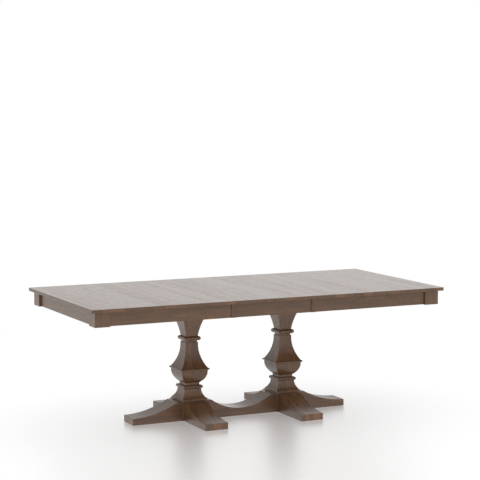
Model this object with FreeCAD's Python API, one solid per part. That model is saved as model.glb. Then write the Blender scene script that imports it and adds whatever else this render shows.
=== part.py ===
import FreeCAD, Part
import math
import os

# Double pedestal dining table with one leaf set between the two sliding halves of its top.
# Millimetres. +X runs along the table, -Y is the front, +Z is up.
# The origin is on the floor under the middle of the table.

# Top panels
TABLE_LENGTH = 2235.2
TABLE_WIDTH = 1066.8
TABLE_HEIGHT = 762.0
LEAF_LENGTH = 508.0
PANEL_THICKNESS = 19.0
PANEL_CORNER = 6.0
PANEL_EASE = 1.6
SEAM_EASE = 0.8
SEAM_GAP = 0.5
LEAF_CLEARANCE = 0.3

# Aprons, corner blocks and seam strips
BLOCK_OVERHANG = 25.4
BLOCK_WIDTH = 90.0
BLOCK_DROP = 2.5
APRON_HEIGHT = 80.5
APRON_THICKNESS = 20.0
APRON_SETBACK = 12.0
STRIP_WIDTH = 14.0
STRIP_SETBACK = 6.5
RAIL_EASE = 1.5

# Feet, hubs and stretcher
PEDESTAL_SPACING = 618.0
FOOT_REACH = 388.0
FOOT_WIDTH = 142.0
FOOT_EASE = 2.0
TOE_HEIGHT = 41.0
HUB_TOP = 113.0
HUB_REVEAL = 6.0
HUB_WALL = 35.0
HUB_ROOF = 28.0
SHELF_RUN = 33.0
STRETCHER_LOW = 48.5
GLIDE_RADIUS = 14.0
GLIDE_THICKNESS = 6.0
GLIDE_STANDOFF = 2.0
GLIDE_INSET = 40.0

# Column, square in plan: half widths and heights from the hub upwards
PLINTH_OVERHANG = 3.0
PLINTH_BAND = 12.5
PLINTH_HEIGHT = 71.0
PLINTH_TOP_HALF = 52.6
LOWER_COLLAR_HALF = 61.0
LOWER_COLLAR_HEIGHT = 21.0
BOWL_NECK_HALF = 44.5
BOWL_NECK_HEIGHT = 14.0
BOWL_HALF = 82.4
BOWL_RISE = 71.0
BOWL_RIM = 7.0
LIP_HALF = 91.2
LIP_HEIGHT = 11.0
BELL_FOOT_HALF = 83.5
BELL_RISE = 138.0
BELL_TOP_HALF = 39.5
BELL_SHAFT = 12.0
NECK_HALF = 35.0
NECK_HEIGHT = 10.5
UPPER_COLLAR_HALF = 52.0
UPPER_COLLAR_HEIGHT = 26.0
CAPITAL_FOOT = 2.5
CAPITAL_FOOT_HALF = 38.8
CAPITAL_FLARE = 115.0
CAPITAL_HOLLOW = 4.0
CAPITAL_TOP_HALF = 72.0
CAPITAL_BAND = 36.0
CAPITAL_BAND_STEP = 2.0

# Plates and bolsters that carry the slides
PLATE_OVERHANG = 40.0
PLATE_THICKNESS = 19.0
BOLSTER_OVERRUN = 18.0
BOLSTER_WIDTH = 90.0
BOLSTER_THICKNESS = 30.0

# Slides
SLIDE_SPACING = 460.0
RAIL_HEIGHT = 46.0
FIXED_RAIL_WIDTH = 30.0
MOVING_RAIL_WIDTH = 26.0
RAIL_OVERRUN = 126.0
RAIL_REACH = 250.0
RAIL_LIFT = 1.0
GROOVE_HEIGHT = 12.0
GROOVE_DEPTH = 8.0
GROOVE_END = 10.0
SLIDE_CLEARANCE = 0.3
EXTRA_OPENING = 50.8
BEARER_LENGTH = 80.0
BEARER_REACH = 30.0
BEARER_WIDTH = 40.0
BEARER_THICKNESS = 4.0
BEARER_GAP = 30.0

# Equaliser gear that makes the halves open together
GEAR_MODULE = 2.5
GEAR_HALF_TEETH = 10
GEAR_BACKLASH = 0.4
GEAR_ADDENDUM = 1.0
GEAR_DEDENDUM = 1.25
PRESSURE_ANGLE = math.radians(20.0)
RACK_DEPTH = 18.0
RACK_HEIGHT = 12.0
RACK_LAP = 100.0
RACK_SPARE = 15.0
BRIDGE_WIDTH = 70.0
STUD_RADIUS = 6.0
STUD_SHOULDER_RADIUS = 11.0
STUD_HEAD_RADIUS = 10.0
STUD_HEAD_HEIGHT = 3.0
RUNNING_CLEARANCE = 0.05
END_FLOAT = 0.2

# Fasteners
HOLE_CLEARANCE = 0.25
ROD_RADIUS = 6.0
ROD_END = 4.0
NUT_RADIUS = 11.0
NUT_HEIGHT = 10.0
NUT_POCKET_CLEARANCE = 3.0
BOLT_RADIUS = 5.0
BOLT_HEAD_RADIUS = 9.0
BOLT_HEAD_HEIGHT = 7.0
BOLT_LEVEL = 50.0
BOLT_END = 12.0
BARREL_RADIUS = 7.5
BARREL_LENGTH = 24.0
BARREL_DEPTH = 40.0
PLATE_BOLT_RADIUS = 4.0
PLATE_BOLT_GRIP = 20.0
PLATE_BOLT_HEAD_RADIUS = 7.0
PLATE_BOLT_HEAD_HEIGHT = 5.0
PLATE_BOLT_SPACING = 56.0
SCREW_RADIUS = 2.5
SCREW_HEAD_RADIUS = 5.0
SCREW_HEAD_HEIGHT = 4.0
SCREW_SOCKET_RADIUS = 2.4
SCREW_SOCKET_DEPTH = 2.5
RAIL_SCREW_BITE = 15.0
PANEL_SCREW_BITE = 12.0
PANEL_SCREW_COUNT = 4
PANEL_SCREW_INSET = 60.0

# Places worked out from the sizes above
HALF_WIDTH = TABLE_WIDTH / 2
TABLE_END = -TABLE_LENGTH / 2
SEAM = -LEAF_LENGTH / 2
HALF_SEAM = SEAM - SEAM_GAP / 2
LEAF_SEAM = SEAM + SEAM_GAP / 2
UNDERSIDE = TABLE_HEIGHT - PANEL_THICKNESS
LEAF_UNDERSIDE = UNDERSIDE + LEAF_CLEARANCE
APRON_BOTTOM = UNDERSIDE - APRON_HEIGHT
APRON_INSET = BLOCK_OVERHANG + APRON_SETBACK
BLOCK_END = BLOCK_OVERHANG + BLOCK_WIDTH

PEDESTAL_X = -PEDESTAL_SPACING / 2
HUB_HALF = FOOT_WIDTH / 2 + HUB_REVEAL
POCKET_HALF = HUB_HALF - HUB_WALL
POCKET_TOP = HUB_TOP - HUB_ROOF
PLINTH_HALF = HUB_HALF + PLINTH_OVERHANG
SHELF_END = PLINTH_HALF + SHELF_RUN
BARREL_OFFSET = HUB_HALF + BARREL_DEPTH

PLINTH_TOP = HUB_TOP + PLINTH_HEIGHT
LOWER_COLLAR_TOP = PLINTH_TOP + LOWER_COLLAR_HEIGHT
BOWL_NECK_TOP = LOWER_COLLAR_TOP + BOWL_NECK_HEIGHT
BOWL_SHOULDER = BOWL_NECK_TOP + BOWL_RISE
BOWL_TOP = BOWL_SHOULDER + BOWL_RIM
LIP_TOP = BOWL_TOP + LIP_HEIGHT
RAIL_BOTTOM = UNDERSIDE - RAIL_HEIGHT
BOLSTER_BOTTOM = RAIL_BOTTOM - BOLSTER_THICKNESS
PLATE_BOTTOM = BOLSTER_BOTTOM - PLATE_THICKNESS
CAPITAL_SHOULDER = PLATE_BOTTOM - CAPITAL_BAND
COLUMN_FIXED = CAPITAL_FOOT + UPPER_COLLAR_HEIGHT + NECK_HEIGHT + BELL_SHAFT
COLUMN_STRETCH = (CAPITAL_SHOULDER - LIP_TOP - COLUMN_FIXED) / (BELL_RISE + CAPITAL_FLARE)
FLARE_FOOT = CAPITAL_SHOULDER - CAPITAL_FLARE * COLUMN_STRETCH
CAPITAL_BOTTOM = FLARE_FOOT - CAPITAL_FOOT
CAPITAL_BAND_HALF = CAPITAL_TOP_HALF + CAPITAL_BAND_STEP
PLATE_HALF = CAPITAL_BAND_HALF + PLATE_OVERHANG
NECK_TOP = CAPITAL_BOTTOM - UPPER_COLLAR_HEIGHT
NECK_BOTTOM = NECK_TOP - NECK_HEIGHT
BELL_TANGENT = NECK_BOTTOM - BELL_SHAFT

FIXED_RAIL_TOP = UNDERSIDE - SLIDE_CLEARANCE
FIXED_RAIL_HALF = PEDESTAL_SPACING / 2 + BOLSTER_WIDTH / 2 + RAIL_OVERRUN
FIXED_RAIL_Y = (-SLIDE_SPACING / 2, SLIDE_SPACING / 2)
MOVING_RAIL_OFFSET = FIXED_RAIL_WIDTH / 2 + SLIDE_CLEARANCE
SLIDE_EDGE = SLIDE_SPACING / 2 + MOVING_RAIL_OFFSET + MOVING_RAIL_WIDTH
BOLSTER_HALF = SLIDE_EDGE + BOLSTER_OVERRUN
BEARER_Y = SLIDE_EDGE + BEARER_GAP + BEARER_WIDTH / 2
APRON_INNER_END = TABLE_END + APRON_INSET + APRON_THICKNESS
GROOVE_Z = (RAIL_BOTTOM + FIXED_RAIL_TOP) / 2
GROOVE_STOP = FIXED_RAIL_HALF - GROOVE_END
RACK_BOTTOM = UNDERSIDE - RACK_HEIGHT
PITCH_RADIUS = GEAR_MODULE * GEAR_HALF_TEETH
TOOTH_PITCH = math.pi * GEAR_MODULE
GEAR_TEETH = 2 * GEAR_HALF_TEETH
PINION_BOTTOM = RACK_BOTTOM + END_FLOAT
PINION_TOP = UNDERSIDE - STUD_HEAD_HEIGHT - 2 * END_FLOAT
JOURNAL_TOP = PINION_TOP + END_FLOAT
ROD_BOTTOM = POCKET_TOP - NUT_HEIGHT - ROD_END
ROD_TOP = BOLSTER_BOTTOM + NUT_HEIGHT + ROD_END
NUT_POCKET_RADIUS = NUT_RADIUS + NUT_POCKET_CLEARANCE
NUT_POCKET_DEPTH = NUT_HEIGHT + ROD_END + HOLE_CLEARANCE
RAIL_SCREW_LENGTH = BOLSTER_THICKNESS + RAIL_SCREW_BITE
PANEL_SCREW_LENGTH = RAIL_HEIGHT - RAIL_LIFT + PANEL_SCREW_BITE

UP = FreeCAD.Vector(0, 0, 1)
ALONG = FreeCAD.Vector(1, 0, 0)
CENTRE = FreeCAD.Vector(0, 0, 0)
TOLERANCE = 0.001
pieces = {}


# Shape helpers

def block(x_range, y_range, z_range):
    low = FreeCAD.Vector(x_range[0], y_range[0], z_range[0])
    size = FreeCAD.Vector(x_range[1], y_range[1], z_range[1]) - low
    return Part.makeBox(size.x, size.y, size.z, low)


def peg(radius, start, length, direction=UP):
    return Part.makeCylinder(radius, length, FreeCAD.Vector(*start), direction)


def hexagon(radius, start, length):
    corners = []
    for side in range(7):
        angle = side * math.pi / 3
        offset = FreeCAD.Vector(radius * math.cos(angle), radius * math.sin(angle), 0)
        corners.append(FreeCAD.Vector(*start) + offset)
    return Part.Face(Part.makePolygon(corners)).extrude(UP * length)


def line(start, end):
    return Part.LineSegment(start, end).toShape()


def arc(start, middle, end):
    return Part.Arc(start, middle, end).toShape()


def turned(shape, degrees):
    copy = shape.copy()
    copy.rotate(CENTRE, UP, degrees)
    return copy


def moved(shape, x):
    copy = shape.copy()
    copy.translate(ALONG * x)
    return copy


def eased(shape, radius, wanted):
    edges = [edge for edge in shape.Edges if wanted(edge.BoundBox)]
    return shape.makeFillet(radius, edges)


def group(shapes):
    return Part.makeCompound([solid for shape in shapes for solid in shape.Solids])


def near(value, target):
    return abs(value - target) < TOLERANCE


def arc_middle(tangent_point, other_point, upright):
    """Middle of the arc that is upright (or level) at tangent_point and ends at other_point."""
    across = other_point - tangent_point
    step = FreeCAD.Vector(across.x, 0, 0) if upright else FreeCAD.Vector(0, 0, across.z)
    radius = across.Length ** 2 / (2 * step.Length)
    centre = tangent_point + step.normalize() * radius
    halfway = (tangent_point + other_point) * 0.5 - centre
    return centre + halfway.normalize() * radius


# Square column pieces: an outline of half width against height, turned into four mitred faces

def outline_point(half, z):
    return FreeCAD.Vector(half, 0, z)


def mitred(edges):
    """Square solid whose half width follows the outline edges from its bottom to its top."""
    widest = max(edge.BoundBox.XMax for edge in edges)
    other = [edge.mirror(CENTRE, ALONG) for edge in edges]
    bottom = edges[0].Vertexes[0].Point
    top = edges[-1].Vertexes[-1].Point
    base = line(outline_point(-bottom.x, bottom.z), bottom)
    lid = line(top, outline_point(-top.x, top.z))
    wire = Part.Wire(Part.sortEdges(edges + other + [base, lid])[0])
    slab = Part.Face(wire).extrude(FreeCAD.Vector(0, 2 * widest, 0))
    slab.translate(FreeCAD.Vector(0, -widest, 0))
    return slab.common(turned(slab, 90))


def plinth():
    foot = outline_point(PLINTH_HALF, HUB_TOP)
    band = outline_point(PLINTH_HALF, HUB_TOP + PLINTH_BAND)
    top = outline_point(PLINTH_TOP_HALF, PLINTH_TOP)
    scotia = arc(band, arc_middle(top, band, True), top)
    return mitred([line(foot, band), scotia])


def collar(half, bottom, height):
    bead = height / 2
    low = outline_point(half - bead, bottom)
    nose = outline_point(half, bottom + bead)
    high = outline_point(half - bead, bottom + height)
    return mitred([arc(low, nose, high)])


def bowl():
    foot = outline_point(BOWL_NECK_HALF, LOWER_COLLAR_TOP)
    neck = outline_point(BOWL_NECK_HALF, BOWL_NECK_TOP)
    shoulder = outline_point(BOWL_HALF, BOWL_SHOULDER)
    rim = outline_point(BOWL_HALF, BOWL_TOP)
    belly = arc(neck, arc_middle(shoulder, neck, True), shoulder)
    return mitred([line(foot, neck), belly, line(shoulder, rim)])


def bell():
    lip = LIP_HEIGHT / 2
    lip_low = outline_point(LIP_HALF - lip, BOWL_TOP)
    lip_nose = outline_point(LIP_HALF, BOWL_TOP + lip)
    lip_high = outline_point(LIP_HALF - lip, LIP_TOP)
    foot = outline_point(BELL_FOOT_HALF, LIP_TOP)
    tangent = outline_point(BELL_TOP_HALF, BELL_TANGENT)
    shaft = outline_point(BELL_TOP_HALF, NECK_BOTTOM)
    neck_low = outline_point(NECK_HALF, NECK_BOTTOM)
    neck_high = outline_point(NECK_HALF, NECK_TOP)
    sweep = arc(foot, arc_middle(tangent, foot, True), tangent)
    edges = [arc(lip_low, lip_nose, lip_high), line(lip_high, foot), sweep]
    edges += [line(tangent, shaft), line(shaft, neck_low), line(neck_low, neck_high)]
    return mitred(edges)


def capital():
    foot = outline_point(CAPITAL_FOOT_HALF, CAPITAL_BOTTOM)
    flare_foot = outline_point(CAPITAL_FOOT_HALF, FLARE_FOOT)
    shoulder = outline_point(CAPITAL_TOP_HALF, CAPITAL_SHOULDER)
    band_low = outline_point(CAPITAL_BAND_HALF, CAPITAL_SHOULDER)
    band_high = outline_point(CAPITAL_BAND_HALF, PLATE_BOTTOM)
    hollow = (shoulder - flare_foot).cross(FreeCAD.Vector(0, 1, 0)).normalize() * CAPITAL_HOLLOW
    flare = arc(flare_foot, (flare_foot + shoulder) * 0.5 + hollow, shoulder)
    return mitred([line(foot, flare_foot), flare, line(shoulder, band_low), line(band_low, band_high)])


# Hubs, feet and stretcher, about a column axis at the origin and pointing along +X

def foot_bolt_hole(reach):
    return peg(BOLT_RADIUS + HOLE_CLEARANCE, (0, 0, BOLT_LEVEL), reach, ALONG)


def barrel_hole():
    top = BOLT_LEVEL + BARREL_LENGTH / 2
    start = (BARREL_OFFSET, 0, GLIDE_STANDOFF)
    return peg(BARREL_RADIUS + HOLE_CLEARANCE, start, top - GLIDE_STANDOFF + HOLE_CLEARANCE)


def hub():
    side = (-HUB_HALF, HUB_HALF)
    shape = block(side, side, (GLIDE_STANDOFF, HUB_TOP))
    shape = eased(shape, FOOT_EASE, lambda box: near(box.XLength, 0) and near(box.YLength, 0))
    pocket = (-POCKET_HALF, POCKET_HALF)
    shape = shape.cut(block(pocket, pocket, (GLIDE_STANDOFF, POCKET_TOP)))
    shape = shape.cut(peg(ROD_RADIUS + HOLE_CLEARANCE, (0, 0, POCKET_TOP), HUB_ROOF))
    for quarter in range(4):
        shape = shape.cut(turned(foot_bolt_hole(HUB_HALF), 90 * quarter))
    return shape


def shelf_corner(distance):
    return FreeCAD.Vector(distance, 0, HUB_TOP)


def arm(outline):
    face = Part.Face(Part.Wire(outline))
    shape = face.extrude(FreeCAD.Vector(0, FOOT_WIDTH, 0))
    shape.translate(FreeCAD.Vector(0, -FOOT_WIDTH / 2, 0))
    return shape


def clear_of_floor(box):
    return not near(box.ZMax, GLIDE_STANDOFF)


def foot():
    heel_low = FreeCAD.Vector(HUB_HALF, 0, GLIDE_STANDOFF)
    heel_high = shelf_corner(HUB_HALF)
    shelf = shelf_corner(SHELF_END)
    toe_high = FreeCAD.Vector(FOOT_REACH, 0, TOE_HEIGHT)
    toe_low = FreeCAD.Vector(FOOT_REACH, 0, GLIDE_STANDOFF)
    instep = arc(shelf, arc_middle(toe_high, shelf, False), toe_high)
    outline = [line(heel_low, heel_high), line(heel_high, shelf), instep]
    outline += [line(toe_high, toe_low), line(toe_low, heel_low)]
    shape = eased(arm(outline), FOOT_EASE, lambda box: clear_of_floor(box) and not near(box.XMax, HUB_HALF))
    shape = shape.cut(foot_bolt_hole(BARREL_OFFSET + BOLT_END))
    shape = shape.cut(barrel_hole())
    recess = GLIDE_THICKNESS - GLIDE_STANDOFF
    start = (FOOT_REACH - GLIDE_INSET, 0, GLIDE_STANDOFF)
    return shape.cut(peg(GLIDE_RADIUS + HOLE_CLEARANCE, start, recess))


def foot_bolt():
    head_start = POCKET_HALF - BOLT_HEAD_HEIGHT
    head = peg(BOLT_HEAD_RADIUS, (head_start, 0, BOLT_LEVEL), BOLT_HEAD_HEIGHT, ALONG)
    length = BARREL_OFFSET + BOLT_END - POCKET_HALF - HOLE_CLEARANCE
    return head.fuse(peg(BOLT_RADIUS, (POCKET_HALF, 0, BOLT_LEVEL), length, ALONG)).removeSplitter()


def barrel_nut():
    start = (BARREL_OFFSET, 0, BOLT_LEVEL - BARREL_LENGTH / 2)
    return peg(BARREL_RADIUS, start, BARREL_LENGTH).cut(foot_bolt_hole(BARREL_OFFSET + BOLT_END))


def floor_glide():
    return peg(GLIDE_RADIUS, (FOOT_REACH - GLIDE_INSET, 0, 0), GLIDE_THICKNESS)


def stretcher():
    end = PEDESTAL_SPACING / 2
    left_low = FreeCAD.Vector(HUB_HALF - end, 0, GLIDE_STANDOFF)
    left_high = shelf_corner(HUB_HALF - end)
    left_shelf = shelf_corner(SHELF_END - end)
    middle = FreeCAD.Vector(0, 0, STRETCHER_LOW)
    right_shelf = shelf_corner(end - SHELF_END)
    right_high = shelf_corner(end - HUB_HALF)
    right_low = FreeCAD.Vector(end - HUB_HALF, 0, GLIDE_STANDOFF)
    outline = [line(left_low, left_high), line(left_high, left_shelf)]
    outline += [arc(left_shelf, middle, right_shelf), line(right_shelf, right_high)]
    outline += [line(right_high, right_low), line(right_low, left_low)]
    shape = eased(arm(outline), FOOT_EASE, lambda box: clear_of_floor(box) and not near(box.XLength, 0))
    drill = foot_bolt_hole(BARREL_OFFSET + BOLT_END).fuse(barrel_hole())
    for angle in (0, 180):
        shape = shape.cut(turned(moved(drill, PEDESTAL_X), angle))
    return shape


# Rods, plates and bolsters on a column axis at the origin

def rod_bored(shape, bottom, top):
    return shape.cut(peg(ROD_RADIUS + HOLE_CLEARANCE, (0, 0, bottom), top - bottom))


def tie_rod():
    return peg(ROD_RADIUS, (0, 0, ROD_BOTTOM), ROD_TOP - ROD_BOTTOM)


def tie_rod_nut(bottom):
    return rod_bored(hexagon(NUT_RADIUS, (0, 0, bottom), NUT_HEIGHT), bottom, bottom + NUT_HEIGHT)


def plate_bolt_places():
    reach = PLATE_HALF - PLATE_OVERHANG / 2
    half = PLATE_BOLT_SPACING / 2
    return [(x, y) for x in (-half, half) for y in (-reach, reach)]


def plate_bolt(place):
    x, y = place
    head_bottom = PLATE_BOTTOM - PLATE_BOLT_HEAD_HEIGHT
    head = hexagon(PLATE_BOLT_HEAD_RADIUS, (x, y, head_bottom), PLATE_BOLT_HEAD_HEIGHT)
    shank = peg(PLATE_BOLT_RADIUS, (x, y, PLATE_BOTTOM), PLATE_THICKNESS + PLATE_BOLT_GRIP)
    return head.fuse(shank).removeSplitter()


def plate_bolt_holes():
    length = PLATE_THICKNESS + PLATE_BOLT_GRIP + HOLE_CLEARANCE
    radius = PLATE_BOLT_RADIUS + HOLE_CLEARANCE
    return group([peg(radius, (x, y, PLATE_BOTTOM), length) for x, y in plate_bolt_places()])


def top_plate():
    side = (-PLATE_HALF, PLATE_HALF)
    shape = block(side, side, (PLATE_BOTTOM, BOLSTER_BOTTOM))
    shape = rod_bored(shape, PLATE_BOTTOM, BOLSTER_BOTTOM)
    return shape.cut(plate_bolt_holes())


def wood_screw(x, y, bottom, length):
    head = peg(SCREW_HEAD_RADIUS, (x, y, bottom), SCREW_HEAD_HEIGHT)
    screw = head.fuse(peg(SCREW_RADIUS, (x, y, bottom), length)).removeSplitter()
    return screw.cut(hexagon(SCREW_SOCKET_RADIUS, (x, y, bottom), SCREW_SOCKET_DEPTH))


def wood_screw_hole(x, y, bottom, length):
    head = peg(SCREW_HEAD_RADIUS + HOLE_CLEARANCE, (x, y, bottom), SCREW_HEAD_HEIGHT + HOLE_CLEARANCE)
    return head.fuse(peg(SCREW_RADIUS + HOLE_CLEARANCE, (x, y, bottom), length + HOLE_CLEARANCE))


def rail_screw_places():
    places = []
    for y in FIXED_RAIL_Y:
        for x in (PEDESTAL_X, 0, -PEDESTAL_X):
            places.append((x, y, BOLSTER_BOTTOM))
    return places


def rail_screw_holes():
    return group([wood_screw_hole(*place, RAIL_SCREW_LENGTH) for place in rail_screw_places()])


def bolster():
    x_range = (-BOLSTER_WIDTH / 2, BOLSTER_WIDTH / 2)
    shape = block(x_range, (-BOLSTER_HALF, BOLSTER_HALF), (BOLSTER_BOTTOM, RAIL_BOTTOM))
    shape = shape.cut(peg(NUT_POCKET_RADIUS, (0, 0, BOLSTER_BOTTOM), NUT_POCKET_DEPTH))
    return shape.cut(plate_bolt_holes())


# Slides and equaliser gear

def fixed_rail(y):
    half = FIXED_RAIL_WIDTH / 2
    shape = block((-FIXED_RAIL_HALF, FIXED_RAIL_HALF), (y - half, y + half), (RAIL_BOTTOM, FIXED_RAIL_TOP))
    z_range = (GROOVE_Z - GROOVE_HEIGHT / 2, GROOVE_Z + GROOVE_HEIGHT / 2)
    for face in (y - half, y + half - GROOVE_DEPTH):
        shape = shape.cut(block((-GROOVE_STOP, GROOVE_STOP), (face, face + GROOVE_DEPTH), z_range))
    return shape.cut(rail_screw_holes())


def panel_screw_places():
    """Places of the screws through the left half's moving rails, spread along the panel."""
    first = HALF_SEAM - PANEL_SCREW_INSET
    last = APRON_INNER_END + PANEL_SCREW_INSET
    step = (last - first) / (PANEL_SCREW_COUNT - 1)
    y_middle = MOVING_RAIL_OFFSET + MOVING_RAIL_WIDTH / 2
    places = []
    for y in FIXED_RAIL_Y:
        for index in range(PANEL_SCREW_COUNT):
            places.append((first + index * step, y + y_middle, RAIL_BOTTOM + RAIL_LIFT))
    return places


def panel_screw_holes():
    return group([wood_screw_hole(*place, PANEL_SCREW_LENGTH) for place in panel_screw_places()])


def moving_rail(y):
    """Left half's rail on the +Y side of the fixed rail at y, with its tongue in that rail's groove."""
    near_face = y + MOVING_RAIL_OFFSET
    inner = SEAM + RAIL_REACH
    z_range = (RAIL_BOTTOM + RAIL_LIFT, UNDERSIDE)
    shape = block((APRON_INNER_END, inner), (near_face, near_face + MOVING_RAIL_WIDTH), z_range)
    tongue_half = GROOVE_HEIGHT / 2 - SLIDE_CLEARANCE
    tongue_y = (near_face - GROOVE_DEPTH, near_face)
    tongue_z = (GROOVE_Z - tongue_half, GROOVE_Z + tongue_half)
    tongue_end = EXTRA_OPENING + SLIDE_CLEARANCE - GROOVE_STOP
    tongue = block((tongue_end, inner), tongue_y, tongue_z)
    return shape.fuse(tongue).removeSplitter().cut(panel_screw_holes())


def leaf_bearer(y):
    x_range = (HALF_SEAM + BEARER_REACH - BEARER_LENGTH, HALF_SEAM + BEARER_REACH)
    y_range = (y - BEARER_WIDTH / 2, y + BEARER_WIDTH / 2)
    return block(x_range, y_range, (UNDERSIDE - BEARER_THICKNESS, UNDERSIDE))


def rack():
    """Left half's rack on the +Y side of the pinion, with a gap between teeth at x = 0."""
    tip = PITCH_RADIUS - GEAR_ADDENDUM * GEAR_MODULE
    root = PITCH_RADIUS + GEAR_DEDENDUM * GEAR_MODULE
    slope = math.tan(PRESSURE_ANGLE)
    half_tooth = (TOOTH_PITCH / 2 - GEAR_BACKLASH) / 2
    tip_half = half_tooth - (PITCH_RADIUS - tip) * slope
    root_half = half_tooth + (root - PITCH_RADIUS) * slope
    start = HALF_SEAM - RACK_LAP
    end = EXTRA_OPENING + RACK_SPARE
    first = math.ceil((start + root_half) / TOOTH_PITCH - 0.5)
    last = math.floor((end - root_half) / TOOTH_PITCH - 0.5)
    points = [(start, root)]
    for tooth in range(first, last + 1):
        x = (tooth + 0.5) * TOOTH_PITCH
        points += [(x - root_half, root), (x - tip_half, tip), (x + tip_half, tip), (x + root_half, root)]
    back = PITCH_RADIUS + RACK_DEPTH
    points += [(end, root), (end, back), (start, back), (start, root)]
    outline = Part.makePolygon([FreeCAD.Vector(x, y, RACK_BOTTOM) for x, y in points])
    return Part.Face(outline).extrude(UP * RACK_HEIGHT)


def involute(angle):
    return math.tan(angle) - angle


def pinion_point(radius, angle):
    return FreeCAD.Vector(radius * math.cos(angle), radius * math.sin(angle), PINION_BOTTOM)


def pinion():
    base_radius = PITCH_RADIUS * math.cos(PRESSURE_ANGLE)
    root_radius = PITCH_RADIUS - GEAR_DEDENDUM * GEAR_MODULE
    tip_radius = PITCH_RADIUS + GEAR_ADDENDUM * GEAR_MODULE
    half_pitch_tooth = (TOOTH_PITCH / 2 - GEAR_BACKLASH) / 2 / PITCH_RADIUS
    flank_start = max(base_radius, root_radius)

    def half_angle(radius):
        return half_pitch_tooth + involute(PRESSURE_ANGLE) - involute(math.acos(base_radius / radius))

    flank = [flank_start, (flank_start + tip_radius) / 2, tip_radius]
    step = 2 * math.pi / GEAR_TEETH
    edges = []
    for tooth in range(GEAR_TEETH):
        middle = math.pi / 2 + tooth * step
        rise = [pinion_point(radius, middle - half_angle(radius)) for radius in flank]
        fall = [pinion_point(radius, middle + half_angle(radius)) for radius in reversed(flank)]
        root_in = pinion_point(root_radius, middle - half_angle(flank_start))
        root_out = pinion_point(root_radius, middle + half_angle(flank_start))
        next_root = pinion_point(root_radius, middle + step - half_angle(flank_start))
        crown = pinion_point(tip_radius, middle)
        valley = pinion_point(root_radius, middle + step / 2)
        edges += [line(root_in, rise[0]), arc(*rise), arc(rise[2], crown, fall[0])]
        edges += [arc(*fall), line(fall[2], root_out), arc(root_out, valley, next_root)]
    thickness = PINION_TOP - PINION_BOTTOM
    gear = Part.Face(Part.Wire(edges)).extrude(UP * thickness)
    return gear.cut(peg(STUD_RADIUS + RUNNING_CLEARANCE, (0, 0, PINION_BOTTOM), thickness))


def gear_stud():
    shape = peg(STUD_RADIUS, (0, 0, BOLSTER_BOTTOM), JOURNAL_TOP - BOLSTER_BOTTOM)
    shape = shape.fuse(peg(STUD_SHOULDER_RADIUS, (0, 0, RAIL_BOTTOM), RACK_BOTTOM - RAIL_BOTTOM))
    return shape.fuse(peg(STUD_HEAD_RADIUS, (0, 0, JOURNAL_TOP), STUD_HEAD_HEIGHT)).removeSplitter()


def gear_bridge():
    x_range = (-BRIDGE_WIDTH / 2, BRIDGE_WIDTH / 2)
    shape = block(x_range, (-BOLSTER_HALF, BOLSTER_HALF), (BOLSTER_BOTTOM, RAIL_BOTTOM))
    shape = shape.cut(peg(STUD_RADIUS + RUNNING_CLEARANCE, (0, 0, BOLSTER_BOTTOM), BOLSTER_THICKNESS))
    return shape.cut(rail_screw_holes())


# Top panels, aprons, corner blocks and seam strips

def half_panel():
    shape = block((TABLE_END, HALF_SEAM), (-HALF_WIDTH, HALF_WIDTH), (UNDERSIDE, TABLE_HEIGHT))
    shape = eased(shape, PANEL_CORNER, lambda box: near(box.XMax, TABLE_END) and near(box.YLength, 0))
    shape = eased(shape, PANEL_EASE, lambda box: near(box.ZLength, 0) and not near(box.XMin, HALF_SEAM))
    shape = eased(shape, SEAM_EASE, lambda box: near(box.ZMin, TABLE_HEIGHT) and near(box.XMin, HALF_SEAM))
    return shape.cut(panel_screw_holes())


def leaf_panel():
    shape = block((LEAF_SEAM, -LEAF_SEAM), (-HALF_WIDTH, HALF_WIDTH), (LEAF_UNDERSIDE, TABLE_HEIGHT))
    shape = eased(shape, PANEL_EASE, lambda box: near(box.ZLength, 0) and near(box.YLength, 0))
    return eased(shape, SEAM_EASE, lambda box: near(box.ZMin, TABLE_HEIGHT) and near(box.XLength, 0))


def side_apron(x_range, top):
    """Front apron: a board under the panel's edge, eased along its lower outer edge."""
    outer = -HALF_WIDTH + APRON_INSET
    shape = block(x_range, (outer, outer + APRON_THICKNESS), (APRON_BOTTOM, top))
    return eased(shape, RAIL_EASE, lambda box: near(box.ZMax, APRON_BOTTOM) and near(box.YMax, outer))


def end_apron():
    outer = TABLE_END + APRON_INSET
    y_half = HALF_WIDTH - BLOCK_END
    shape = block((outer, outer + APRON_THICKNESS), (-y_half, y_half), (APRON_BOTTOM, UNDERSIDE))
    return eased(shape, RAIL_EASE, lambda box: near(box.ZMax, APRON_BOTTOM) and near(box.XMax, outer))


def corner_block():
    """Block in the front corner of the left half, behind which both aprons end."""
    x_range = (TABLE_END + BLOCK_OVERHANG, TABLE_END + BLOCK_END)
    y_range = (-HALF_WIDTH + BLOCK_OVERHANG, -HALF_WIDTH + BLOCK_END)
    shape = block(x_range, y_range, (APRON_BOTTOM - BLOCK_DROP, UNDERSIDE))
    return eased(shape, RAIL_EASE, lambda box: not near(box.ZMin, UNDERSIDE))


def seam_strip(x, top):
    """Strip on the front apron, starting at x and covering one side of a seam."""
    outer = -HALF_WIDTH + BLOCK_OVERHANG + STRIP_SETBACK
    y_range = (outer, -HALF_WIDTH + APRON_INSET)
    shape = block((x, x + STRIP_WIDTH), y_range, (APRON_BOTTOM, top))
    return eased(shape, RAIL_EASE, lambda box: near(box.YMax, outer) and near(box.XLength, 0))


def mirrored_back(shape):
    return shape.mirror(CENTRE, FreeCAD.Vector(0, 1, 0))


# Base

def both_pedestals(shape):
    left = moved(shape, PEDESTAL_X)
    return {"left": left, "right": turned(left, 180)}


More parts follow.
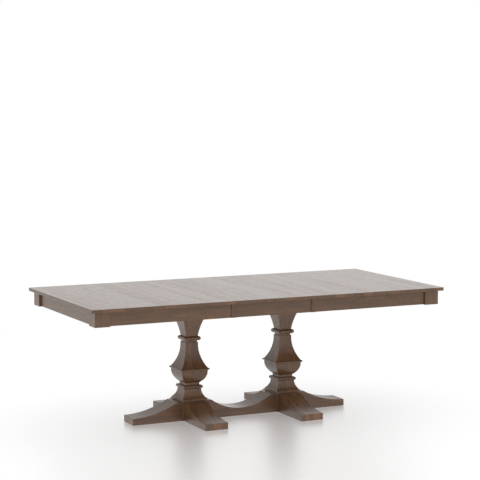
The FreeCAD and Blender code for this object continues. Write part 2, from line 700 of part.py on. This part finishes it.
def build_feet():
    foot_shape = foot()
    for side, angles in (("left", (180, 270, 90)), ("right", (0, 270, 90))):
        x = PEDESTAL_X if side == "left" else -PEDESTAL_X
        for place, angle in zip(("outer", "front", "back"), angles):
            pieces[f"{side}_{place}_foot"] = moved(turned(foot_shape, angle), x)
    pieces["stretcher"] = stretcher()


def build_foot_fasteners():
    for node, maker in (("foot_bolts", foot_bolt), ("foot_barrel_nuts", barrel_nut)):
        solids = []
        for quarter in range(4):
            solids += both_pedestals(turned(maker(), 90 * quarter)).values()
        pieces[node] = group(solids)
    glides = []
    for angle in (90, 180, 270):
        glides += both_pedestals(turned(floor_glide(), angle)).values()
    pieces["floor_glides"] = group(glides)


def build_columns():
    stack = {"hub": hub()}
    stack["plinth"] = rod_bored(plinth(), HUB_TOP, PLINTH_TOP)
    stack["lower_collar"] = rod_bored(
        collar(LOWER_COLLAR_HALF, PLINTH_TOP, LOWER_COLLAR_HEIGHT), PLINTH_TOP, LOWER_COLLAR_TOP)
    stack["bowl"] = rod_bored(bowl(), LOWER_COLLAR_TOP, BOWL_TOP)
    stack["bell"] = rod_bored(bell(), BOWL_TOP, NECK_TOP)
    stack["upper_collar"] = rod_bored(
        collar(UPPER_COLLAR_HALF, NECK_TOP, UPPER_COLLAR_HEIGHT), NECK_TOP, CAPITAL_BOTTOM)
    stack["capital"] = rod_bored(capital(), CAPITAL_BOTTOM, PLATE_BOTTOM)
    for name, shape in stack.items():
        for side, placed in both_pedestals(shape).items():
            pieces[f"{side}_{name}"] = placed


def build_slide_carriers():
    pieces["tie_rods"] = group(both_pedestals(tie_rod()).values())
    nuts = group([tie_rod_nut(POCKET_TOP - NUT_HEIGHT), tie_rod_nut(BOLSTER_BOTTOM)])
    pieces["tie_rod_nuts"] = group(both_pedestals(nuts).values())
    pieces["top_plates"] = group(both_pedestals(top_plate()).values())
    bolts = group([plate_bolt(place) for place in plate_bolt_places()])
    pieces["plate_bolts"] = group(both_pedestals(bolts).values())
    drill = rail_screw_holes()
    pieces["bolsters"] = group([shape.cut(drill) for shape in both_pedestals(bolster()).values()])
    pieces["fixed_rails"] = group([fixed_rail(y) for y in FIXED_RAIL_Y])
    pieces["gear_bridge"] = gear_bridge()
    pieces["gear_stud"] = gear_stud()
    pieces["rail_screws"] = group([wood_screw(*place, RAIL_SCREW_LENGTH) for place in rail_screw_places()])


# Moving pieces: the right half is the left half turned half a turn about the upright axis

def build_halves():
    apron = side_apron((TABLE_END + BLOCK_END, HALF_SEAM), UNDERSIDE)
    strip = seam_strip(HALF_SEAM - STRIP_WIDTH, UNDERSIDE)
    half = {"panel": half_panel(), "front_apron": apron, "back_apron": mirrored_back(apron)}
    half["end_apron"] = end_apron()
    half["corner_blocks"] = group([corner_block(), mirrored_back(corner_block())])
    half["seam_strips"] = group([strip, mirrored_back(strip)])
    half["slide_rails"] = group([moving_rail(y) for y in FIXED_RAIL_Y])
    half["rack"] = rack()
    half["leaf_bearers"] = group([leaf_bearer(-BEARER_Y), leaf_bearer(BEARER_Y)])
    half["screws"] = group([wood_screw(*place, PANEL_SCREW_LENGTH) for place in panel_screw_places()])
    opposite = {"front_apron": "back_apron", "back_apron": "front_apron"}
    for name, shape in half.items():
        pieces[f"left_{name}"] = shape
        pieces[f"right_{opposite.get(name, name)}"] = turned(shape, 180)


def build_leaf():
    apron = side_apron((LEAF_SEAM, -LEAF_SEAM), LEAF_UNDERSIDE)
    pieces["leaf_panel"] = leaf_panel()
    pieces["leaf_front_apron"] = apron
    pieces["leaf_back_apron"] = mirrored_back(apron)
    strips = [seam_strip(LEAF_SEAM, LEAF_UNDERSIDE), seam_strip(-LEAF_SEAM - STRIP_WIDTH, LEAF_UNDERSIDE)]
    pieces["leaf_seam_strips"] = group(strips + [mirrored_back(strip) for strip in strips])


def main():
    build_feet()
    build_foot_fasteners()
    build_columns()
    build_slide_carriers()
    build_halves()
    build_leaf()
    pieces["pinion"] = pinion()
    os.makedirs("parts", exist_ok=True)
    for name, shape in pieces.items():
        shape.exportStep(f"parts/{name}.step")


main()
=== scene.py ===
import math
import bpy
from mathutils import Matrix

# Double pedestal dining table in brown stained hardwood, in a white studio. Metres, in the table's own frame.

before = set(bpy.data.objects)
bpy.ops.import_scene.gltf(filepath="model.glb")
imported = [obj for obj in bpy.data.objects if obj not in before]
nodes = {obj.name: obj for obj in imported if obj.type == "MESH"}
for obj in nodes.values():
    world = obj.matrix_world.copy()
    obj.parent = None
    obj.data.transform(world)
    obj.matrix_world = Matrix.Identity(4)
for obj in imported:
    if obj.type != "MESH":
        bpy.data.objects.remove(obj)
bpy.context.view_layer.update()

# Camera
CAMERA_PLACE = (-4.2631, -8.9015, 2.0336)
CAMERA_PITCH = -0.0997
CAMERA_TURN = -0.4488
CAMERA_LENS = 125.17
SENSOR_WIDTH = 36.0

# Floor, with the share of a shadow that the camera sees and the distances where it fades to plain white
FLOOR_HALF = 30.0
FLOOR_COLOUR = (1.0, 1.0, 1.0, 1.0)
FLOOR_SHADOW = 0.5
FLOOR_SHEEN = (1.12, 1.12, 1.12, 1.0)
FLOOR_ROUGHNESS = 0.32
FLOOR_GLOSS = 0.235
FADE_START = 1.4
FADE_END = 3.6

# Sky, with the strength of each zone and the upward parts of the direction between which it takes over
SKY_COLOUR = (1.0, 1.0, 1.0, 1.0)
SKY_HORIZON = 1.0
SKY_WALL = 0.68
SKY_OVERHEAD = 1.40
WALL_START = 0.15
WALL_FULL = 0.35
OVERHEAD_START = 0.50
OVERHEAD_FULL = 0.75

# Stained wood colours
STAIN_DARK = (0.0955, 0.0500, 0.0260, 1.0)
STAIN_MID = (0.1215, 0.0603, 0.0286, 1.0)
STAIN_LIGHT = (0.1450, 0.0695, 0.0308, 1.0)
STAIN_WARM = (0.2120, 0.0930, 0.0350, 1.0)
STAIN_PORE = (0.0420, 0.0245, 0.0165, 1.0)
STAIN = (STAIN_DARK, STAIN_MID, STAIN_LIGHT, STAIN_WARM, STAIN_PORE)

# Bare wood colours
BARE_DARK = (0.38, 0.24, 0.13, 1.0)
BARE_MID = (0.47, 0.32, 0.18, 1.0)
BARE_LIGHT = (0.56, 0.41, 0.25, 1.0)
BARE_WARM = (0.50, 0.30, 0.14, 1.0)
BARE_PORE = (0.22, 0.13, 0.06, 1.0)
BARE = (BARE_DARK, BARE_MID, BARE_LIGHT, BARE_WARM, BARE_PORE)

# Widths of the staves that a piece is glued up from; the last is wider than any piece
TOP_STAVE = 0.062
COLUMN_STAVE = 0.043
FOOT_STAVE = 0.0237
WHOLE = 10.0

# How far the joints between staves move from piece to piece, and how much staves differ in cut and tint
SEED_STEP = 0.137
CUT_SPREAD = 9.0
TINT_LOW = 0.90
TINT_HIGH = 1.10

# Share of their colour that the top boards keep
TOP_SHADE = 0.80

# Half range of tone that the colours span, and stretch of the figure along the fibres
CALM = (0.16, 0.10)
BOLD = (0.06, 0.03)

# Scale, detail and distortion of the figure, and stretch, scale, detail and distortion of the other patterns
FIGURE = (46.0, 3.0, 0.6)
STREAKS = (0.04, 260.0, 3.0, 0.2)
FLAMES = (0.16, 62.0, 3.0, 0.8)
PORES = (0.05, 1300.0, 2.0, 0.0)
GLOSS_BANDS = (0.05, 10.0, 2.0, 0.3)
GLOSS_BLOTCHES = (0.5, 34.0, 2.0, 0.5)

# Middle of every pattern, and the share of the figure in the tone; the streaks make up the rest
NOISE_MEAN = 0.5
FIGURE_SHARE = 0.55

# Where flames, pores and soaked ends start and are full, and the share of colour that they then have
FLAME_LIMITS = (0.53, 0.70)
FLAME_SHARE = 0.55
PORE_LIMITS = (0.58, 0.72)
PORE_SHARE = 0.25
SOAKED_LIMITS = (0.50, 0.70)
SOAKED_SHARE = 0.65

# How squarely a face looks along an axis before it counts as end grain or as an upper face
FACING_LIMITS = (0.80, 0.98)

# Finish of the wood, with the share of the bands in its changes of gloss; the blotches make up the rest
TOP_ROUGHNESS = 0.19
ROUGHNESS = 0.29
BARE_ROUGHNESS = 0.58
BAND_SHARE = 0.6
SHEEN_LIMITS = (0.36, 0.64)
SHEEN_SPREAD = 0.034
LACQUER_IOR = 1.55

# Fine relief, as its depth and its strength on each material
RELIEF_DEPTH = 0.0002
GRAIN_RELIEF = 0.06
SCRATCH_RELIEF = 0.08

# Steel and nylon, with the scale and detail of their patterns
STEEL_DARK = (0.42, 0.42, 0.41, 1.0)
STEEL_LIGHT = (0.60, 0.60, 0.58, 1.0)
STEEL_BLOOM = (160.0, 4.0)
STEEL_SCRATCHES = (1800.0, 2.0)
STEEL_ROUGHNESS = (0.28, 0.46)
NYLON_DARK = (0.010, 0.009, 0.008, 1.0)
NYLON_LIGHT = (0.022, 0.020, 0.018, 1.0)
NYLON_MOTTLE = (700.0, 4.0)
NYLON_ROUGHNESS = (0.45, 0.65)
MOTTLE_LIMITS = (0.3, 0.7)

# Name endings of the pieces of bare wood and of steel
BARE_NODES = ("top_plates", "bolsters", "fixed_rails", "gear_bridge", "slide_rails")
STEEL_NODES = ("rack", "pinion", "gear_stud", "bearers", "rods", "nuts", "bolts", "screws")

# Name endings of the pieces whose upper face is smoother than their sides
POLISHED_NODES = ("panel", "stretcher")

# Name ending, fibre axis, axis that the staves lie along, stave and figure; the first that fits counts
GRAIN_RULES = (
    ("panel", "y", "x", TOP_STAVE, CALM),
    ("end_apron", "y", "z", WHOLE, CALM),
    ("apron", "x", "z", WHOLE, CALM),
    ("outer_foot", "x", "y", FOOT_STAVE, BOLD),
    ("foot", "y", "x", FOOT_STAVE, BOLD),
    ("stretcher", "x", "y", FOOT_STAVE, BOLD),
    ("top_plates", "y", "x", WHOLE, CALM),
    ("bolsters", "y", "x", WHOLE, CALM),
    ("gear_bridge", "y", "x", WHOLE, CALM),
    ("rails", "x", "y", WHOLE, CALM),
    ("blocks", "z", "x", WHOLE, CALM),
    ("strips", "z", "x", WHOLE, CALM),
    ("", "z", "x", COLUMN_STAVE, CALM),
)


# Node helpers

def add(tree, kind, **settings):
    """Adds a node with the given settings."""
    node = tree.nodes.new(kind)
    for name, value in settings.items():
        setattr(node, name, value)
    return node


def feed(tree, socket, value):
    """Links a socket to another node's output, or sets it to a plain value."""
    if isinstance(value, bpy.types.NodeSocket):
        tree.links.new(value, socket)
    else:
        socket.default_value = value


def calc(tree, operation, first, second=0.0):
    """Works out one step of arithmetic."""
    node = add(tree, "ShaderNodeMath", operation=operation)
    feed(tree, node.inputs[0], first)
    feed(tree, node.inputs[1], second)
    return node.outputs[0]


def weigh(tree, share, first, second):
    """Averages two values, with share of the first."""
    part = calc(tree, "MULTIPLY", first, share)
    rest = calc(tree, "MULTIPLY", second, 1.0 - share)
    return calc(tree, "ADD", part, rest)


def vector(tree, x, y, z):
    """Puts three values together."""
    node = add(tree, "ShaderNodeCombineXYZ")
    for socket, value in zip(node.inputs, (x, y, z)):
        feed(tree, socket, value)
    return node.outputs[0]


def split(tree, value):
    """Takes a vector apart."""
    node = add(tree, "ShaderNodeSeparateXYZ")
    feed(tree, node.inputs[0], value)
    return node.outputs


def noise(tree, place, scale, detail, distortion=0.0):
    """Soft random pattern."""
    node = add(tree, "ShaderNodeTexNoise")
    feed(tree, node.inputs["Vector"], place)
    node.inputs["Scale"].default_value = scale
    node.inputs["Detail"].default_value = detail
    node.inputs["Distortion"].default_value = distortion
    return node.outputs["Fac"]


def remap(tree, value, low, high, new_low=0.0, new_high=1.0):
    """Goes smoothly from new_low to new_high while the value goes from low to high."""
    node = add(tree, "ShaderNodeMapRange", interpolation_type="SMOOTHSTEP")
    feed(tree, node.inputs["Value"], value)
    for name, number in zip(("From Min", "From Max", "To Min", "To Max"), (low, high, new_low, new_high)):
        node.inputs[name].default_value = number
    return node.outputs["Result"]


def blend(tree, share, first, second, mode="MIX"):
    """Mixes two colours, with share of the second."""
    node = add(tree, "ShaderNodeMix", data_type="RGBA", blend_type=mode)
    feed(tree, node.inputs["Factor"], share)
    feed(tree, node.inputs["A"], first)
    feed(tree, node.inputs["B"], second)
    return node.outputs["Result"]


def ramp(tree, value, stops):
    """Colour by value, from stops of a place and a colour."""
    node = add(tree, "ShaderNodeValToRGB")
    elements = node.color_ramp.elements
    for place, colour in stops[1:-1]:
        elements.new(place)
    for element, (place, colour) in zip(elements, stops):
        element.position = place
        element.color = colour
    feed(tree, node.inputs["Fac"], value)
    return node.outputs["Color"]


def join(tree, share, first, second):
    """Mixes two shaders, with share of the second."""
    node = add(tree, "ShaderNodeMixShader")
    feed(tree, node.inputs[0], share)
    feed(tree, node.inputs[1], first.outputs[0])
    feed(tree, node.inputs[2], second.outputs[0])
    return node


def roughen(tree, surface, height, strength):
    """Gives a surface fine relief."""
    bump = add(tree, "ShaderNodeBump")
    bump.inputs["Strength"].default_value = strength
    bump.inputs["Distance"].default_value = RELIEF_DEPTH
    feed(tree, bump.inputs["Height"], height)
    feed(tree, surface.inputs["Normal"], bump.outputs["Normal"])


def new_material(name):
    """Starts a material, and returns it with its node tree and its shader."""
    material = bpy.data.materials.new(name)
    material.use_nodes = True
    return material, material.node_tree, material.node_tree.nodes["Principled BSDF"]


# Materials

def wood(name, colours, grain, across, stave, figuring, sides, upper, shade, seed):
    """Wood with its fibres along one axis, glued up from staves that lie side by side along another."""
    dark, mid, light, warm, pore = colours
    tone_range, run = figuring
    material, tree, surface = new_material(name)
    texture = add(tree, "ShaderNodeTexCoord").outputs
    place = split(tree, texture["Object"])
    facing = split(tree, texture["Normal"])
    through = ({"x", "y", "z"} - {grain, across}).pop()
    fibre, side, depth = (place["xyz".index(axis)] for axis in (grain, across, through))

    # Each stave has its own cut of the timber, its own tint and its own thirst for stain at its ends
    stave_place = calc(tree, "DIVIDE", calc(tree, "ADD", side, seed * SEED_STEP), stave)
    stave_number = calc(tree, "FLOOR", stave_place)
    chance = add(tree, "ShaderNodeTexWhiteNoise", noise_dimensions="2D")
    feed(tree, chance.inputs["Vector"], vector(tree, stave_number, seed, 0.0))
    draws = add(tree, "ShaderNodeSeparateColor")
    feed(tree, draws.inputs[0], chance.outputs["Color"])
    cut_draw, tint_draw, thirst_draw = draws.outputs
    cut = calc(tree, "MULTIPLY", cut_draw, CUT_SPREAD)

    def pattern(stretch, scale, detail, distortion):
        along = calc(tree, "ADD", calc(tree, "MULTIPLY", fibre, stretch), cut)
        return noise(tree, vector(tree, along, side, depth), scale, detail, distortion)

    streaks = pattern(*STREAKS)
    tone = weigh(tree, FIGURE_SHARE, pattern(run, *FIGURE), streaks)
    tone = remap(tree, tone, NOISE_MEAN - tone_range, NOISE_MEAN + tone_range)
    colour = ramp(tree, tone, ((0.0, dark), (0.5, mid), (1.0, light)))
    colour = blend(tree, remap(tree, pattern(*FLAMES), *FLAME_LIMITS, 0.0, FLAME_SHARE), colour, warm)
    end_grain = remap(tree, calc(tree, "ABSOLUTE", facing["xyz".index(grain)]), *FACING_LIMITS)
    thirst = remap(tree, thirst_draw, *SOAKED_LIMITS, 0.0, SOAKED_SHARE)
    colour = blend(tree, calc(tree, "MULTIPLY", end_grain, thirst), colour, warm)
    tint = remap(tree, tint_draw, 0.0, 1.0, TINT_LOW * shade, TINT_HIGH * shade)
    colour = blend(tree, 1.0, colour, vector(tree, tint, tint, tint), "MULTIPLY")
    colour = blend(tree, remap(tree, pattern(*PORES), *PORE_LIMITS, 0.0, PORE_SHARE), colour, pore)
    feed(tree, surface.inputs["Base Color"], colour)

    # The finish is duller in bands along the grain and in soft blotches
    sheen = weigh(tree, BAND_SHARE, pattern(*GLOSS_BANDS), pattern(*GLOSS_BLOTCHES))
    polish = remap(tree, facing["Z"], *FACING_LIMITS, sides, upper)
    dulling = remap(tree, sheen, *SHEEN_LIMITS, -SHEEN_SPREAD, SHEEN_SPREAD)
    feed(tree, surface.inputs["Roughness"], calc(tree, "ADD", polish, dulling))
    surface.inputs["IOR"].default_value = LACQUER_IOR
    roughen(tree, surface, streaks, GRAIN_RELIEF)
    return material


def mottled(name, dark, light, spots, roughness):
    """Material with soft spots of two shades; also returns its parts and the place on the surface."""
    material, tree, surface = new_material(name)
    place = add(tree, "ShaderNodeTexCoord").outputs["Object"]
    mottle = noise(tree, place, *spots)
    low, high = MOTTLE_LIMITS
    feed(tree, surface.inputs["Base Color"], ramp(tree, mottle, ((low, dark), (high, light))))
    feed(tree, surface.inputs["Roughness"], remap(tree, mottle, low, high, *roughness))
    return material, tree, surface, place


def steel():
    """Zinc plated steel with a fine bloom and scratches."""
    material, tree, surface, place = mottled(
        "zinc_plated_steel", STEEL_DARK, STEEL_LIGHT, STEEL_BLOOM, STEEL_ROUGHNESS)
    surface.inputs["Metallic"].default_value = 1.0
    roughen(tree, surface, noise(tree, place, *STEEL_SCRATCHES), SCRATCH_RELIEF)
    return material


def nylon():
    """Dark nylon of the glides."""
    return mottled("nylon_glide", NYLON_DARK, NYLON_LIGHT, NYLON_MOTTLE, NYLON_ROUGHNESS)[0]


def dress_nodes():
    """Gives every piece its material."""
    metal = steel()
    plastic = nylon()
    for seed, name in enumerate(sorted(nodes)):
        if name == "floor_glides":
            material = plastic
        elif name.endswith(STEEL_NODES):
            material = metal
        else:
            lay = next(rule[1:] for rule in GRAIN_RULES if name.endswith(rule[0]))
            bare = name.endswith(BARE_NODES)
            colours = BARE if bare else STAIN
            sides = BARE_ROUGHNESS if bare else ROUGHNESS
            upper = TOP_ROUGHNESS if name.endswith(POLISHED_NODES) else sides
            shade = TOP_SHADE if name.endswith("panel") else 1.0
            material = wood(f"wood_{name}", colours, *lay, sides, upper, shade, seed)
        mesh = nodes[name].data
        mesh.materials.clear()
        mesh.materials.append(material)


# Studio

def build_floor():
    """Glossy floor that keeps the table's shadow, and is plain white further out and in reflections."""
    mesh = bpy.data.meshes.new("floor")
    corners = ((-1, -1), (1, -1), (1, 1), (-1, 1))
    mesh.from_pydata([(x * FLOOR_HALF, y * FLOOR_HALF, 0.0) for x, y in corners], [], [(0, 1, 2, 3)])
    floor = bpy.data.objects.new("floor", mesh)
    bpy.context.scene.collection.objects.link(floor)

    material, tree, surface = new_material("studio_floor")
    tree.nodes.remove(surface)
    path = add(tree, "ShaderNodeLightPath").outputs
    camera = path["Is Camera Ray"]
    mirrored = calc(tree, "MAXIMUM", path["Is Glossy Ray"], path["Is Transmission Ray"])
    white = add(tree, "ShaderNodeEmission")
    matt = add(tree, "ShaderNodeBsdfDiffuse")
    matt.inputs["Color"].default_value = FLOOR_COLOUR
    paint = join(tree, calc(tree, "MULTIPLY", camera, 1.0 - FLOOR_SHADOW), matt, white)
    sheen = add(tree, "ShaderNodeBsdfGlossy")
    sheen.inputs["Color"].default_value = FLOOR_SHEEN
    sheen.inputs["Roughness"].default_value = FLOOR_ROUGHNESS
    gloss = add(tree, "ShaderNodeLayerWeight")
    gloss.inputs["Blend"].default_value = FLOOR_GLOSS
    shiny = join(tree, gloss.outputs["Facing"], paint, sheen)
    distance = add(tree, "ShaderNodeVectorMath", operation="LENGTH")
    feed(tree, distance.inputs[0], add(tree, "ShaderNodeTexCoord").outputs["Object"])
    fade = remap(tree, distance.outputs["Value"], FADE_START, FADE_END)
    plain = calc(tree, "MAXIMUM", calc(tree, "MULTIPLY", fade, camera), mirrored)
    lit = join(tree, plain, shiny, white)

    # From below the floor is clear
    clear = add(tree, "ShaderNodeBsdfTransparent")
    both = join(tree, add(tree, "ShaderNodeNewGeometry").outputs["Backfacing"], lit, clear)
    feed(tree, tree.nodes["Material Output"].inputs["Surface"], both.outputs[0])
    mesh.materials.append(material)


def build_sky():
    """White at the horizon, greyer walls above it and a broad soft light overhead."""
    world = bpy.data.worlds.new("studio")
    world.use_nodes = True
    tree = world.node_tree
    light = tree.nodes["Background"]
    light.inputs["Color"].default_value = SKY_COLOUR
    rise = split(tree, add(tree, "ShaderNodeTexCoord").outputs["Generated"])["Z"]
    walls = remap(tree, rise, WALL_START, WALL_FULL, SKY_HORIZON, SKY_WALL)
    overhead = remap(tree, rise, OVERHEAD_START, OVERHEAD_FULL, 0.0, SKY_OVERHEAD - SKY_WALL)
    feed(tree, light.inputs["Strength"], calc(tree, "ADD", walls, overhead))
    bpy.context.scene.world = world


def build_camera():
    """Camera at the photograph's viewing angle."""
    data = bpy.data.cameras.new("camera")
    data.sensor_width = SENSOR_WIDTH
    data.lens = CAMERA_LENS
    camera = bpy.data.objects.new("camera", data)
    camera.location = CAMERA_PLACE
    camera.rotation_euler = (math.pi / 2 + CAMERA_PITCH, 0.0, CAMERA_TURN)
    bpy.context.scene.collection.objects.link(camera)
    bpy.context.scene.camera = camera


dress_nodes()
build_floor()
build_sky()
build_camera()
bpy.context.scene.view_settings.view_transform = "Standard"
